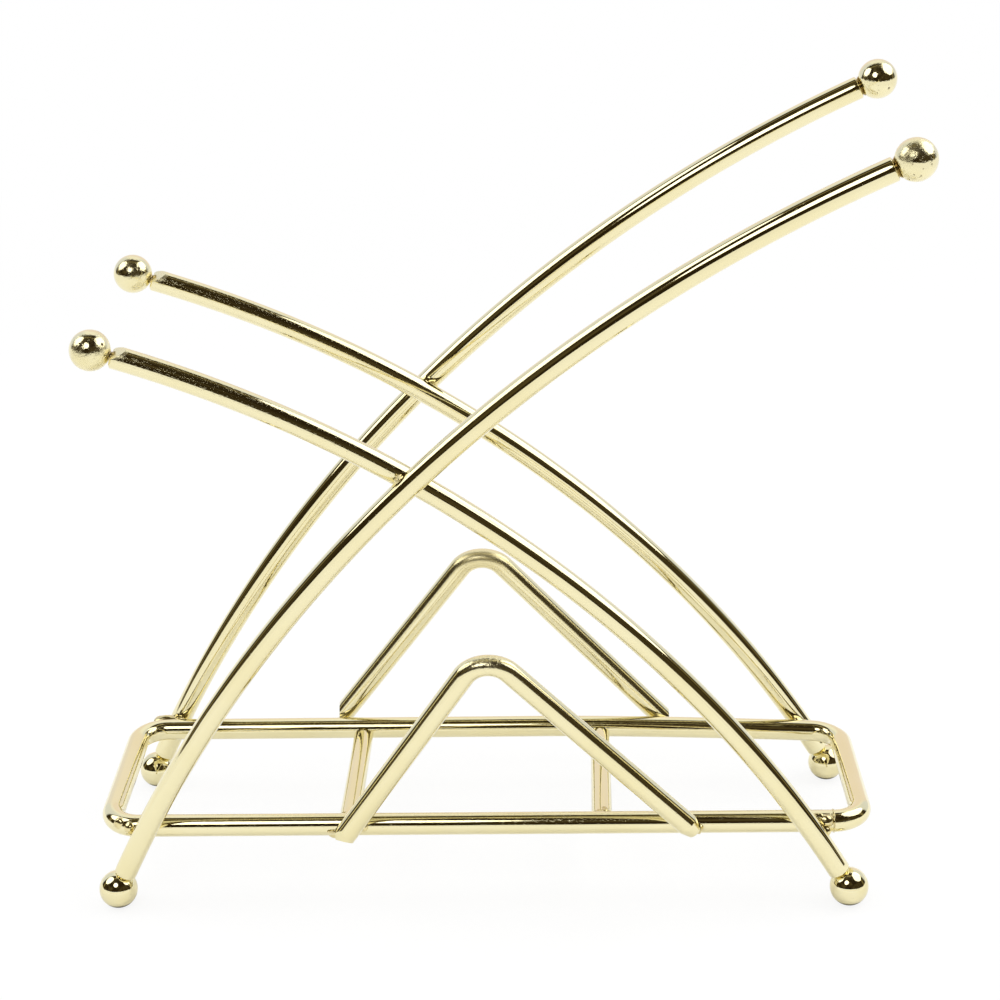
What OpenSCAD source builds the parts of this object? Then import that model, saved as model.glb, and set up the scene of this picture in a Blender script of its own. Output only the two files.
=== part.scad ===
// Napkin holder of bent and welded round wire, with a ball on every free end of its arms.
// Frame: X runs along the base loop, Y from the front side to the back side, Z up from the table.
// The origin is on the table, under the middle of the base loop.

/* [Wire] */
// Diameter of the wire
wire_d = 5; // [4:0.1:6]
// How much thinner the cross bars are than the rest of the wire
bar_undersize = 0.4; // [0.2:0.1:0.8]
// Length of the chamfer on a cut wire end
end_chamfer = 0.9; // [0.5:0.1:1.4]
// Diameter left on the face of a chamfered wire end
end_face_d = 3.2; // [2.8:0.1:3.6]
// Length of the small chamfer where an arm stands on its foot ball
foot_chamfer = 0.4; // [0.2:0.1:0.6]

/* [Balls] */
// Diameter of the balls on the tips and the feet
ball_d = 8.6; // [7:0.1:11]
// Diameter of the flat that each foot ball stands on
foot_flat_d = 2; // [1:0.1:3]

/* [Base loop] */
// Length of the loop over the outside of the wire
loop_l = 174; // [160:1:190]
// Width of the loop over the outside of the wire
loop_w = 50; // [40:1:60]
// Bend radius of the loop's corners at the centre of the wire
corner_r = 8.5; // [7:0.5:12]
// Height of the loop's wire centre above the table
rail_z = 18; // [15:0.5:24]
// Angle round the front right corner at which the loop's two ends are welded together
seam_turn = 12; // [5:1:30]

/* [Cross bars] */
// Place of the left cross bar along the loop
bar_left_x = -30.5; // [-50:0.5:-15]
// Place of the right cross bar along the loop
bar_right_x = 26.5; // [15:0.5:50]
// How far the cross bars lie below the middle of the rails
bar_drop = 1.2; // [0.8:0.1:1.5]
// How far a cross bar's flat end stops short of the rail's centre line
bar_end_inset = 1.5; // [1.2:0.1:1.8]

/* [Long arms] */
// Distance of the long arm's rail weld from the start of the left corner bend
long_weld_inset = 0; // [0:0.5:8]
// Place of the long arm's tip ball along the loop
long_tip_x = 88.5; // [75:0.5:100]
// Height of the long arm's tip ball
long_tip_z = 171.5; // [155:0.5:190]
// Bend radius of the long arm
long_bend_r = 337; // [280:1:450]

/* [Short arms] */
// Distance of the short arm's rail weld from the start of the right corner bend
short_weld_inset = 3; // [0:0.5:8]
// Place of the short arm's tip ball along the loop
short_tip_x = -77; // [-90:0.5:-65]
// Height of the short arm's tip ball
short_tip_z = 132.5; // [118:0.5:148]
// Bend radius of the short arm
short_bend_r = 275; // [220:1:400]

/* [Peaks] */
// Height at which the straight legs of a peak would meet
peak_z = 64; // [50:1:76]
// Angle between the two legs of a peak
peak_angle = 80; // [60:1:90]
// Bend radius at the top of a peak, at the centre of the wire
peak_bend_r = 6; // [4:0.5:9]
// How far a leg runs past the rail's centre
leg_overrun = 0.9; // [0.5:0.1:3]
// Place of the front peak's top along the loop
front_peak_x = 1.5; // [-8:0.5:8]
// Turn of the front peak, which makes its left leg the steeper one
front_peak_turn = 5; // [0:0.5:8]
// Place of the back peak's top along the loop
back_peak_x = -1.5; // [-8:0.5:8]
// Turn of the back peak, which makes its left leg the steeper one
back_peak_turn = 2.5; // [0:0.5:8]

/* [Welds] */
// How deep the arms and legs are set into the rail
seat_depth = 0.2; // [0.1:0.05:0.4]
// How deep the two arms of a side are set into each other where they cross
crossing_depth = 0.3; // [0.1:0.05:0.5]
// Share of the arms' spread at the crossing that the long arm takes by leaning outwards
long_lean_share = 0.65; // [0.3:0.05:0.8]
// Diameter of the bead round a joint on the rail
rail_bead_d = 4.6; // [4:0.1:5.4]
// Diameter of the bead round a crossing of two arms
crossing_bead_d = 4.6; // [4:0.1:5]
// Thickness of the bead round a cross bar's end
bar_bead_t = 1.2; // [0.8:0.1:1.6]
// Thickness of the bead round the loop's seam
seam_bead_t = 0.9; // [0.6:0.1:1.2]
// How much of the seam bead stands out of the wire
seam_bead_rise = 0.25; // [0.1:0.05:0.4]
// Diameter of the weld neck between an arm's end and its ball
neck_d = 2.6; // [1.8:0.1:2.8]
// Gap between an arm's tip and the ball, filled by the weld neck
tip_gap = 0.4; // [0.2:0.1:0.8]
// Gap between an arm's lower end and the foot ball, filled by the weld neck
foot_gap = 0.3; // [0.2:0.05:0.4]

/* [Hidden] */
$fn = 96;
// Facets of a full turn on the wide bends of the arms
arm_fn = 720;

gold = "#E3D6A0";
weld_gold = "#CDBB7E";
front = -1;
back = 1;
left = -1;
right = 1;

wire_r = wire_d / 2;
ball_r = ball_d / 2;
bar_d = wire_d - bar_undersize;
foot_face_d = wire_d - 2 * foot_chamfer;
foot_z = sqrt(ball_r * ball_r - foot_flat_d * foot_flat_d / 4);

// Half sizes of the loop at the centre of its wire, and the straight stretch between its corners
loop_x = loop_l / 2 - wire_r;
rail_y = loop_w / 2 - wire_r;
straight_x = loop_x - corner_r;
straight_y = rail_y - corner_r;
bar_z = rail_z - bar_drop;

// Plane of the pieces welded to the outside of a rail, and the face where they touch it
seat_y = rail_y + wire_d - seat_depth;
joint_y = rail_y + wire_r;

// An arm's arc lies in its own plane: X along the loop, height measured from the rail
long_weld_x = -(straight_x - long_weld_inset);
short_weld_x = straight_x - short_weld_inset;

function arc_centre(start, finish, r, bulge) =
    let (chord = finish - start, l = norm(chord))
    (start + finish) / 2 + bulge * [chord.y, -chord.x] / l * sqrt(r * r - l * l / 4);
function angle_on(centre, p) = atan2(p.y - centre.y, p.x - centre.x);
function upper_meet(c1, r1, c2, r2) =
    let (gap = c2 - c1, l = norm(gap), along = (r1 * r1 - r2 * r2 + l * l) / (2 * l))
    c1 + gap / l * along + [-gap.y, gap.x] / l * sqrt(r1 * r1 - along * along) * sign(gap.x);

// Where the two arms of a side cross, and the leans that let them pass each other there
meet = upper_meet(
    arc_centre([long_weld_x, 0], [long_tip_x, long_tip_z - rail_z], long_bend_r, 1), long_bend_r,
    arc_centre([short_weld_x, 0], [short_tip_x, short_tip_z - rail_z], short_bend_r, -1), short_bend_r
);
crossing_spread = wire_d - crossing_depth;
long_lean = atan(long_lean_share * crossing_spread / meet.y);
short_lean = -atan((1 - long_lean_share) * crossing_spread / meet.y);

// An arm: weld point, tip point, bend radius, side of its bulge and lean out of the upright
long_arm = [[long_weld_x, 0], [long_tip_x, (long_tip_z - rail_z) / cos(long_lean)],
    long_bend_r, 1, long_lean];
short_arm = [[short_weld_x, 0], [short_tip_x, (short_tip_z - rail_z) / cos(short_lean)],
    short_bend_r, -1, short_lean];

function arm_weld(arm) = arm[0];
function arm_tip(arm) = arm[1];
function arm_r(arm) = arm[2];
function arm_bulge(arm) = arm[3];
function arm_lean(arm) = arm[4];
function arm_centre(arm) = arc_centre(arm_weld(arm), arm_tip(arm), arm_r(arm), arm_bulge(arm));
function arm_foot(arm) =
    let (c = arm_centre(arm), h = (foot_z - rail_z) / cos(arm_lean(arm)), rise = h - c.y)
    [c.x - arm_bulge(arm) * sqrt(arm_r(arm) * arm_r(arm) - rise * rise), h];
// Half the angle that an arm's arc spans between its end faces, and the angle of its middle
function arc_angle(l, arm) = l / arm_r(arm) * 180 / PI;
function foot_end_angle(arm) =
    angle_on(arm_centre(arm), arm_foot(arm)) - arm_bulge(arm) * arc_angle(ball_r + foot_gap, arm);
function tip_end_angle(arm) =
    angle_on(arm_centre(arm), arm_tip(arm)) + arm_bulge(arm) * arc_angle(ball_r + tip_gap, arm);
function half_span(arm) = abs(foot_end_angle(arm) - tip_end_angle(arm)) / 2;
function mid_angle(arm) = (foot_end_angle(arm) + tip_end_angle(arm)) / 2;
function in_frame(side, arm, p) =
    [p.x, side * (seat_y + p.y * sin(arm_lean(arm))), rail_z + p.y * cos(arm_lean(arm))];

// Peaks: the top and turn of each, and where a leg crosses the rail
function peak_x(side) = side == front ? front_peak_x : back_peak_x;
function peak_turn(side) = side == front ? front_peak_turn : back_peak_turn;
function leg_slant(side, hand) = peak_angle / 2 + hand * peak_turn(side);
function leg_foot_x(side, hand) = peak_x(side) + hand * (peak_z - rail_z) * tan(leg_slant(side, hand));
function leg_l(side, hand) =
    (peak_z - rail_z) / cos(leg_slant(side, hand)) + leg_overrun - peak_bend_r / tan(peak_angle / 2);
function peak_bend_centre(side) =
    [peak_x(side), peak_z]
    + peak_bend_r / sin(peak_angle / 2) * [sin(peak_turn(side)), -cos(peak_turn(side))];

// A straight wire along +Z with a chamfer at its far end
module cut_wire(l) {
    cylinder(d = wire_d, h = l - end_chamfer);
    translate([0, 0, l - end_chamfer]) cylinder(d1 = wire_d, d2 = end_face_d, h = end_chamfer);
}

// The closed wire of the base loop
module loop_wire() {
    translate([0, 0, rail_z]) {
        for (side = [front, back])
            translate([-straight_x, side * rail_y, 0]) rotate([0, 90, 0])
                cylinder(d = wire_d, h = 2 * straight_x);
        for (hand = [left, right])
            translate([hand * loop_x, straight_y, 0]) rotate([90, 0, 0])
                cylinder(d = wire_d, h = 2 * straight_y);
        for (turn = [0 : 3])
            translate([(turn == 0 || turn == 3 ? 1 : -1) * straight_x, (turn < 2 ? 1 : -1) * straight_y, 0])
                rotate([0, 0, 90 * turn]) rotate_extrude(angle = 90)
                    translate([corner_r, 0]) circle(d = wire_d);
    }
}

// Places children round the centre of an arm's arc, with its middle on +X and its tip towards -Y
module in_arc(side, arm) {
    centre = arm_centre(arm);
    translate([0, side * seat_y, rail_z]) rotate([-side * arm_lean(arm), 0, 0])
        translate([centre.x, 0, centre.y]) rotate([90, 0, 0]) rotate([0, 0, mid_angle(arm)])
            mirror([0, arm_bulge(arm) > 0 ? 0 : 1, 0]) children();
}

// Places children at an arm's tip end, with +Z out of the wire
module at_tip(side, arm) {
    in_arc(side, arm) rotate([0, 0, -half_span(arm)])
        translate([arm_r(arm), 0, 0]) rotate([90, 0, 0]) children();
}

// Places children at an arm's foot end, with +Z out of the wire
module at_foot(side, arm) {
    in_arc(side, arm) rotate([0, 0, half_span(arm)])
        translate([arm_r(arm), 0, 0]) rotate([-90, 0, 0]) children();
}

// Takes the edge off a wire's end: a cone from the full wire to the face that is left, run on past both
module edge_cutter(l, face_d) {
    lost_r = wire_r - face_d / 2;
    rotate_extrude() polygon([
        [face_d / 2 - lost_r / 2, l / 2], [wire_r + lost_r / 2, -3 * l / 2], [wire_r + lost_r / 2, l / 2]
    ]);
}

// The bent wire of one arm, with the edges of both ends taken off
module arm_wire(side, arm) {
    difference() {
        in_arc(side, arm) rotate([0, 0, -half_span(arm)])
            rotate_extrude(angle = 2 * half_span(arm), $fn = arm_fn)
                translate([arm_r(arm), 0]) circle(d = wire_d);
        at_tip(side, arm) edge_cutter(end_chamfer, end_face_d);
        at_foot(side, arm) edge_cutter(foot_chamfer, foot_face_d);
    }
}

// Places children round the centre of a peak's bend, with +Y towards its top
module in_peak(side) {
    centre = peak_bend_centre(side);
    translate([centre.x, side * seat_y, centre.y])
        rotate([90, 0, 0]) rotate([0, 0, peak_turn(side)]) children();
}

// One straight leg of a peak
module leg_wire(side, hand) {
    in_peak(side) mirror([hand == left ? 1 : 0, 0, 0]) rotate([0, 0, peak_angle / 2])
        translate([peak_bend_r, 0, 0]) rotate([90, 0, 0]) cut_wire(leg_l(side, hand));
}

// The bent wire of one peak
module peak_wire(side) {
    in_peak(side) rotate([0, 0, peak_angle / 2]) rotate_extrude(angle = 180 - peak_angle)
        translate([peak_bend_r, 0]) circle(d = wire_d);
    for (hand = [left, right]) leg_wire(side, hand);
}

// A cross bar before its ends are shaped to the rails
module bar_wire(x) {
    reach = rail_y - bar_end_inset;
    translate([x, reach, bar_z]) rotate([90, 0, 0]) cylinder(d = bar_d, h = 2 * reach);
}

module cross_bar(x) {
    difference() {
        bar_wire(x);
        loop_wire();
    }
}

module ball_at(p) {
    translate(p) sphere(d = ball_d);
}

// A foot ball, cut flat where it stands on the table
module foot_ball(side, arm) {
    difference() {
        ball_at(in_frame(side, arm, arm_foot(arm)));
        translate(in_frame(side, arm, arm_foot(arm)) - [ball_r, ball_r, foot_z + ball_d]) cube(ball_d);
    }
}

// A round bead at a joint, before the wires are taken out of it
module bead_at(p, d) {
    translate(p) rotate([90, 0, 0]) sphere(d = d);
}

// The ball on an arm's tip, in line with the wire there
module tip_ball(side, arm) {
    at_tip(side, arm) translate([0, 0, tip_gap + ball_r]) sphere(d = ball_d);
}

// The weld between an arm's tip and its ball
module tip_neck(side, arm) {
    difference() {
        at_tip(side, arm) cylinder(d = neck_d, h = tip_gap + ball_r);
        tip_ball(side, arm);
    }
}

// The weld between an arm's lower end and its foot ball
module foot_neck(side, arm) {
    difference() {
        at_foot(side, arm) cylinder(d = neck_d, h = foot_gap + ball_r);
        ball_at(in_frame(side, arm, arm_foot(arm)));
    }
}

module base_loop() {
    color(gold) loop_wire();
}

module cross_bar_left() {
    color(gold) cross_bar(bar_left_x);
}

module cross_bar_right() {
    color(gold) cross_bar(bar_right_x);
}

// The long arm is the outer one at the crossing and keeps its full section there
module seated_long_arm(side) {
    difference() {
        arm_wire(side, long_arm);
        loop_wire();
    }
}

module seated_short_arm(side) {
    difference() {
        arm_wire(side, short_arm);
        loop_wire();
        arm_wire(side, long_arm);
    }
}

module front_long_arm() {
    color(gold) seated_long_arm(front);
}

module front_short_arm() {
    color(gold) seated_short_arm(front);
}

module back_long_arm() {
    color(gold) seated_long_arm(back);
}

module back_short_arm() {
    color(gold) seated_short_arm(back);
}

module seated_peak(side) {
    difference() {
        peak_wire(side);
        loop_wire();
    }
}

module front_peak() {
    color(gold) seated_peak(front);
}

module back_peak() {
    color(gold) seated_peak(back);
}

module front_left_tip_ball() {
    color(gold) tip_ball(front, short_arm);
}

module front_right_tip_ball() {
    color(gold) tip_ball(front, long_arm);
}

module back_left_tip_ball() {
    color(gold) tip_ball(back, short_arm);
}

module back_right_tip_ball() {
    color(gold) tip_ball(back, long_arm);
}

module front_left_foot_ball() {
    color(gold) foot_ball(front, long_arm);
}

module front_right_foot_ball() {
    color(gold) foot_ball(front, short_arm);
}

module back_left_foot_ball() {
    color(gold) foot_ball(back, long_arm);
}

module back_right_foot_ball() {
    color(gold) foot_ball(back, short_arm);
}

// One bead where each arm is welded to the outside of a rail
module arm_rail_welds() {
    color(weld_gold) for (side = [front, back], arm = [long_arm, short_arm])
        difference() {
            bead_at([arm_weld(arm).x, side * joint_y, rail_z], rail_bead_d);
            arm_wire(side, arm);
            loop_wire();
        }
}

// One bead where each leg of a peak is welded to the outside of a rail
module peak_rail_welds() {
    color(weld_gold) for (side = [front, back], hand = [left, right])
        difference() {
            bead_at([leg_foot_x(side, hand), side * joint_y, rail_z], rail_bead_d);
            leg_wire(side, hand);
            loop_wire();
        }
}

// One ring of weld round each end of the cross bars, against the rail
module cross_bar_welds() {
    color(weld_gold) for (x = [bar_left_x, bar_right_x], side = [front, back])
        difference() {
            translate([x, side * (rail_y - wire_r), bar_z]) rotate([90, 0, 0])
                rotate_extrude() translate([bar_d / 2, 0]) circle(d = bar_bead_t);
            bar_wire(x);
            loop_wire();
        }
}

// One bead where the two arms of a side cross
module arm_crossing_welds() {
    spread_y = (sin(long_lean) + sin(short_lean)) / 2 * meet.y;
    color(weld_gold) for (side = [front, back])
        difference() {
            bead_at([meet.x, side * (seat_y + spread_y), rail_z + meet.y], crossing_bead_d);
            arm_wire(side, long_arm);
            arm_wire(side, short_arm);
        }
}

module tip_ball_welds() {
    color(weld_gold) for (side = [front, back], arm = [long_arm, short_arm]) tip_neck(side, arm);
}

module foot_ball_welds() {
    color(weld_gold) for (side = [front, back], arm = [long_arm, short_arm]) foot_neck(side, arm);
}

// The raised ring where the loop's two ends are welded together
module loop_seam_weld() {
    color(weld_gold) difference() {
        translate([straight_x, -straight_y, rail_z]) rotate([0, 0, seam_turn]) translate([0, -corner_r, 0])
            rotate([0, 90, 0]) rotate_extrude()
                translate([wire_r + seam_bead_rise - seam_bead_t / 2, 0]) circle(d = seam_bead_t);
        loop_wire();
    }
}

base_loop();
cross_bar_left();
cross_bar_right();
front_long_arm();
front_short_arm();
back_long_arm();
back_short_arm();
front_peak();
back_peak();
front_left_tip_ball();
front_right_tip_ball();
back_left_tip_ball();
back_right_tip_ball();
front_left_foot_ball();
front_right_foot_ball();
back_left_foot_ball();
back_right_foot_ball();
arm_rail_welds();
peak_rail_welds();
cross_bar_welds();
arm_crossing_welds();
tip_ball_welds();
foot_ball_welds();
loop_seam_weld();
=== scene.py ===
import math

import bpy
import numpy as np
from mathutils import Matrix, Vector


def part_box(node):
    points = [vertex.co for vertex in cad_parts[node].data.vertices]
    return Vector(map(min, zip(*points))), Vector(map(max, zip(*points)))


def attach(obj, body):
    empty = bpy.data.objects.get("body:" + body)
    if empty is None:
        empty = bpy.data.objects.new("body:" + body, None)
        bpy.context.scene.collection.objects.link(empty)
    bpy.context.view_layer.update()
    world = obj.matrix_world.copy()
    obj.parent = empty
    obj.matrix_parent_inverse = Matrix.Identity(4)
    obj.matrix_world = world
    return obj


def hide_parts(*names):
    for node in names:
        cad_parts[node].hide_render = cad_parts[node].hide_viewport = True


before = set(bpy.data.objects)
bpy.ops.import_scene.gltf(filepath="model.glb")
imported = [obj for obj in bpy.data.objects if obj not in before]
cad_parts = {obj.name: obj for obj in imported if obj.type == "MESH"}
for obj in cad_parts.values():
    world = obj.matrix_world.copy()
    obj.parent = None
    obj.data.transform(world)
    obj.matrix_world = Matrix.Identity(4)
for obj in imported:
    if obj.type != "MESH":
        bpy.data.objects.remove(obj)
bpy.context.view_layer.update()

# Sizes that the boxes of the CAD nodes don't give, in metres
CORNER_R = 0.0066
SEAM_TURN = math.radians(2)
BACK_SAG, RIGHT_SAG, SAG_FROM, SAG_CURVE = 0.0004, 0.0022, 0.015, 1.5
SAG_LEAN = 0.45
LONG_BEND_R = 0.337
SHORT_BEND_R = 0.275
PEAK_MEET_Z = 0.064
PEAK_ANGLE = math.radians(80)
PEAK_BEND_R = 0.0065
FRONT_PEAK_X, FRONT_PEAK_TURN = 0.0015, math.radians(5)
BACK_PEAK_X, BACK_PEAK_TURN = -0.0015, math.radians(2.5)
FOOT_CHAMFER = 0.00035
FOOT_GAP = 0.0001
LONG_TIP_GAP = -0.0001
SHORT_TIP_GAP = 0.00012
EDGE_ROUND, EDGE_ANGLE = 0.00014, math.radians(20)

# Wire ends, as steps of a run along the wire and the share of its radius left there
LONG_TIP_END = [(0.00025, 0.90)]
SHORT_TIP_END = [(0.0004, 0.84)]
CUT_END = [(0.0004, 0.86)]
FILED_END = [(0.0023, 0.73), (0.0003, 0.60)]

# The flat filed on the short arms' tips: where its middle is, its slope and its turn to the front
TIP_FLAT_BACK, TIP_FLAT_OUT = 0.0013, 0.0015
TIP_FLAT_SLOPE, TIP_FLAT_TURN = math.radians(36), math.radians(12)

# How finely the wires are drawn: sides of the section and length of a step, also of their centre lines
WIRE_SIDES = 48
STEP = 0.0016
BEND_STEP = 0.0005
PATH_STEP = 0.0006

# Vertices closer than the first are merged, and those closer than the second to a flat cut lie on it
MERGE_GAP = 1e-6
CUT_GAP = 1e-7

ACROSS = Vector((1, 0, 0))
AWAY = Vector((0, 1, 0))
UP = Vector((0, 0, 1))
FRONT, BACK = -1, 1
LEFT, RIGHT = -1, 1


def corners(node):
    low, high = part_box(node)
    return Vector(low), Vector(high)


def middle(node):
    low, high = corners(node)
    return (low + high) / 2


# The base loop gives the wire's radius, the height of the rails and the loop's half sizes
loop_low, loop_high = corners("base_loop")
wire_r = (loop_high.z - loop_low.z) / 2
rail_z = (loop_high.z + loop_low.z) / 2
loop_x = loop_high.x - wire_r
rail_y = loop_high.y - wire_r
straight_x = loop_x - CORNER_R
straight_y = rail_y - CORNER_R
joint_y = rail_y + wire_r

ball_low, ball_high = corners("front_left_tip_ball")
ball_r = (ball_high.x - ball_low.x) / 2


def sag(point):
    """How much lower the loop lies there: its back rail sinks towards the right end."""
    back = min(max((point.y + rail_y) / (2 * rail_y), 0), 1)
    right = min(max((point.x - SAG_FROM) / (loop_x - SAG_FROM), 0), 1)
    return back * (BACK_SAG + RIGHT_SAG * right ** SAG_CURVE)


def sunk(point):
    return point - (UP + ACROSS * SAG_LEAN) * sag(point)


def sink(piece):
    """Lets a piece lie as low as the loop does there."""
    for vertex in piece.data.vertices:
        vertex.co = sunk(vertex.co)
    return piece


def ball_centre(node):
    """The centre of a ball. A foot ball is cut flat below, so its top is what counts."""
    centre = middle(node)
    centre.z = corners(node)[1].z - ball_r
    return centre


def settle(name):
    """Names the new piece and puts its place and turn into its mesh."""
    piece = bpy.context.object
    piece.name = name
    piece.data.name = name
    bpy.ops.object.transform_apply(location=True, rotation=True, scale=True)
    return piece


def start_blank(name, radius, place, facing, filled=True):
    """The round cut end that a wire is drawn out from."""
    bpy.ops.object.select_all(action="DESELECT")
    bpy.ops.mesh.primitive_circle_add(
        vertices=WIRE_SIDES, radius=radius, fill_type="NGON" if filled else "NOTHING",
        location=place, rotation=facing.to_track_quat("Z", "Y").to_euler())
    piece = settle(name)
    bpy.ops.object.mode_set(mode="EDIT")
    bpy.ops.mesh.select_all(action="SELECT")
    return piece


def draw_straight(run, step=STEP):
    steps = max(1, math.ceil(run.length / step))
    for _ in range(steps):
        bpy.ops.mesh.extrude_region_move(TRANSFORM_OT_translate={"value": run / steps})


def draw_bend(centre, axis, angle, radius, step=BEND_STEP):
    """Runs the wire's end round a bend. The spin operator counts its angle the other way."""
    steps = max(2, math.ceil(abs(angle) * radius / step))
    bpy.ops.mesh.spin(steps=steps, angle=-angle, center=centre, axis=axis)


def draw_cone(run, centre, radius, new_radius):
    """Draws the end on and brings it to another radius, as at a chamfer or a flare."""
    bpy.ops.mesh.extrude_region_move(TRANSFORM_OT_translate={"value": run})
    share = new_radius / radius
    bpy.ops.transform.resize(value=(share, share, share), center_override=centre)


def draw_end(form, facing, centre, radius):
    """Ends a wire with a chamfer or a rounding."""
    now = radius
    for run, share in form:
        centre = centre + facing * run
        draw_cone(facing * run, centre, now, radius * share)
        now = radius * share


def length_of(form):
    return sum(run for run, _ in form)


def close_mesh(piece):
    """Merges the doubles, turns the faces outwards and goes back to object mode."""
    bpy.ops.mesh.select_all(action="SELECT")
    bpy.ops.mesh.remove_doubles(threshold=MERGE_GAP)
    bpy.ops.mesh.normals_make_consistent(inside=False)
    bpy.ops.object.mode_set(mode="OBJECT")
    return piece


def round_edges(piece, width=EDGE_ROUND, angle=EDGE_ANGLE):
    bevel = piece.modifiers.new("rounded_edges", "BEVEL")
    bevel.width = width
    bevel.segments = 3
    bevel.limit_method = "ANGLE"
    bevel.angle_limit = angle
    apply_modifier(piece, bevel)


def apply_modifier(piece, modifier):
    bpy.ops.object.select_all(action="DESELECT")
    piece.select_set(True)
    bpy.context.view_layer.objects.active = piece
    bpy.ops.object.modifier_apply(modifier=modifier.name)


def join_as(name, parts):
    bpy.ops.object.select_all(action="DESELECT")
    for part in parts:
        part.select_set(True)
    bpy.context.view_layer.objects.active = parts[0]
    if len(parts) > 1:
        bpy.ops.object.join()
    parts[0].name = name
    parts[0].data.name = name
    return parts[0]


# Base loop, closed at its seam
def loop_corner(hand, side):
    return Vector((hand * straight_x, side * straight_y, rail_z))


def seam_place():
    out = Vector((math.sin(SEAM_TURN), -math.cos(SEAM_TURN), 0))
    return loop_corner(RIGHT, FRONT) + CORNER_R * out


def seam_facing():
    return Vector((math.cos(SEAM_TURN), math.sin(SEAM_TURN), 0))


def make_loop_wire():
    quarter = math.pi / 2
    piece = start_blank("loop_wire", wire_r, seam_place(), seam_facing(), filled=False)
    draw_bend(loop_corner(RIGHT, FRONT), UP, quarter - SEAM_TURN, CORNER_R)
    draw_straight(AWAY * 2 * straight_y)
    draw_bend(loop_corner(RIGHT, BACK), UP, quarter, CORNER_R)
    draw_straight(-ACROSS * 2 * straight_x)
    draw_bend(loop_corner(LEFT, BACK), UP, quarter, CORNER_R)
    draw_straight(-AWAY * 2 * straight_y)
    draw_bend(loop_corner(LEFT, FRONT), UP, quarter, CORNER_R)
    draw_straight(ACROSS * 2 * straight_x)
    draw_bend(loop_corner(RIGHT, FRONT), UP, SEAM_TURN, CORNER_R)
    return sink(close_mesh(piece))


def loop_path():
    """Points along the centre of the loop's wire, from its front right corner round and back."""
    points = []
    turns = [(RIGHT, FRONT, -90), (RIGHT, BACK, 0), (LEFT, BACK, 90), (LEFT, FRONT, 180)]
    for hand, side, start in turns:
        for turn in range(0, 91, 3):
            angle = math.radians(start + turn)
            out = Vector((math.cos(angle), math.sin(angle), 0))
            points.append(loop_corner(hand, side) + CORNER_R * out)
    points.append(points[0])
    return [sunk(point) for point in dense(points)]


def dense(points):
    """The same path with points close together."""
    filled = [points[0]]
    for near, far in zip(points, points[1:]):
        steps = max(1, math.ceil((far - near).length / PATH_STEP))
        filled += [near.lerp(far, (k + 1) / steps) for k in range(steps)]
    return filled


# Cross bars, a little lower than the rails and slightly flared where they meet the front one: how far in
# from the end each share of the radius is reached
BARS = "cross_bar_left", "cross_bar_right"
BAR_FLARE = [(0, 1.07), (0.0012, 1.05), (0.0018, 1.025), (0.0026, 1.0)]


def make_bar(name, node):
    low, high = corners(node)
    bar_r = (high.x - low.x) / 2
    rings = [(low.y + inward, bar_r * share) for inward, share in BAR_FLARE]
    rings.append((high.y, bar_r))
    centre = Vector((middle(node).x, rings[0][0], middle(node).z))
    piece = start_blank(name, rings[0][1], centre, AWAY)
    for (y, r), (next_y, next_r) in zip(rings, rings[1:]):
        steps = max(1, math.ceil((next_y - y) / STEP))
        for k in range(steps):
            centre.y += (next_y - y) / steps
            now = r + (next_r - r) * k / steps
            then = r + (next_r - r) * (k + 1) / steps
            draw_cone(AWAY * (next_y - y) / steps, centre, now, then)
    return sink(close_mesh(piece))


def bar_path(node):
    low, high = corners(node)
    centre = middle(node)
    ends = Vector((centre.x, low.y, centre.z)), Vector((centre.x, high.y, centre.z))
    return [sunk(point) for point in dense(ends)]


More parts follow.
